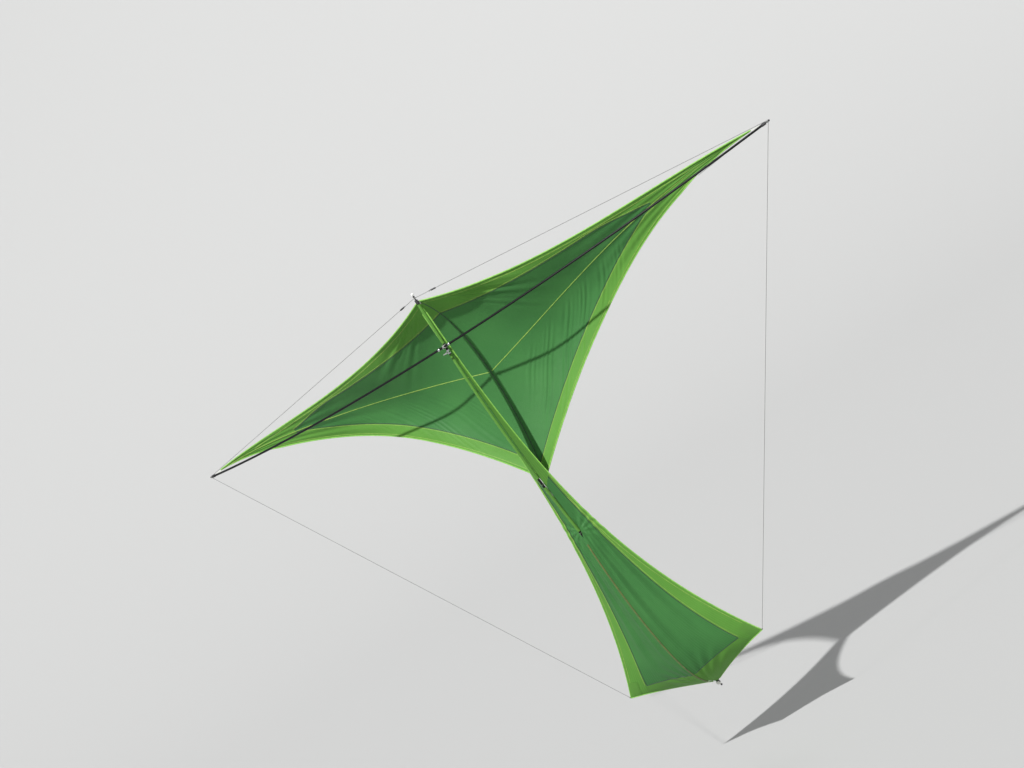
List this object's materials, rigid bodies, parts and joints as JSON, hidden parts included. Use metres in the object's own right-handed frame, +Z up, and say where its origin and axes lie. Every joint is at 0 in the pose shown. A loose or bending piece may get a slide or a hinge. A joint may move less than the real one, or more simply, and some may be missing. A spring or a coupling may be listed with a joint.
{
  "type": "two-stick kite",
  "caption": "Large two-stick kite with a wide concave wing sail and a crossing tail sail, held in tension by guy lines between bowed tubes, with a hinged tow ring.",
  "frame": {"origin": "centre of the tow ring's bore, just windward of the spine below the crossing", "axes": "+Z up the spine to the nose, +X to the right wing tip as the flyer sees it, +Y leeward, away from the flyer"},
  "size_m": [3.0252, 0.4592, 2.019],
  "materials": {
    "carbon": "wet-look black pultruded carbon tube",
    "ferrule": "black solid rod",
    "panel_cloth": "dark bluish green coated ripstop",
    "border_cloth": "light yellow-green coated ripstop",
    "seam_tape": "pale yellow-green seam tape",
    "webbing": "woven white polyester webbing",
    "line": "pale grey braided line",
    "lashing": "white braided cord",
    "moulding": "black moulded nylon",
    "bead": "white moulded nylon",
    "steel": "stainless steel",
    "lug": "anodised aluminium"
  },
  "bodies": {
    "kite": {"cross_lashing_inner": "lashing", "cross_lashing_outer": "lashing", "cross_saddle": "moulding", "guy_nose_left": "line", "guy_nose_right": "line", "guy_tail_left": "line", "guy_tail_right": "line", "nose_bead": "bead", "nose_corner_tab": "webbing", "nose_nock": "moulding", "spar_ferrule": "ferrule", "spar_left_nock": "moulding", "spar_left_tube": "carbon", "spar_right_nock": "moulding", "spar_right_tube": "carbon", "spine_ferrule": "ferrule", "spine_front_tube": "carbon", "spine_rear_tube": "carbon", "spine_sleeve_front": "border_cloth", "spine_sleeve_middle": "border_cloth", "spine_sleeve_rear": "border_cloth", "tail_corner_tab_left": "webbing", "tail_corner_tab_right": "webbing", "tail_nock": "moulding", "tail_panel_left": "panel_cloth", "tail_panel_right": "panel_cloth", "tail_rear_border_left": "border_cloth", "tail_rear_border_right": "border_cloth", "tail_rear_tab": "webbing", "tail_sail_tie": "line", "tail_seam_tape": "seam_tape", "tail_side_border_left": "border_cloth", "tail_side_border_right": "border_cloth", "tail_strip_left": "border_cloth", "tail_strip_right": "border_cloth", "tow_lug": "lug", "tow_pin": "steel", "wing_apex_tab": "webbing", "wing_apex_tie": "line", "wing_front_panel_left": "panel_cloth", "wing_front_panel_right": "panel_cloth", "wing_leading_border_left": "border_cloth", "wing_leading_border_right": "border_cloth", "wing_leading_tip_left": "border_cloth", "wing_leading_tip_right": "border_cloth", "wing_rear_panel_left": "panel_cloth", "wing_rear_panel_right": "panel_cloth", "wing_tip_cord_left": "line", "wing_tip_cord_right": "line", "wing_tip_webbing_left": "webbing", "wing_tip_webbing_right": "webbing", "wing_trailing_border_left": "border_cloth", "wing_trailing_border_right": "border_cloth", "wing_trailing_tip_left": "border_cloth", "wing_trailing_tip_right": "border_cloth"},
    "tow_ring": {"tow_ring": "steel"},
    "slider_left": {"line_slider_left": "bead"},
    "slider_right": {"line_slider_right": "bead"}
  },
  "joints": [
    {"name": "tow_ring_hinge", "type": "hinge", "parent": "kite", "child": "tow_ring", "pos_m": [0, 0.017, 0], "axis": [1, 0, 0], "range_deg": [-60, 80]},
    {"name": "slider_left_slide", "type": "slide", "parent": "kite", "child": "slider_left", "axis": [-0.9713, 0.2147, -0.1026], "range_m": [0, 0.03]},
    {"name": "slider_right_slide", "type": "slide", "parent": "kite", "child": "slider_right", "axis": [0.9713, 0.2147, -0.1026], "range_m": [0, 0.03]}
  ]
}
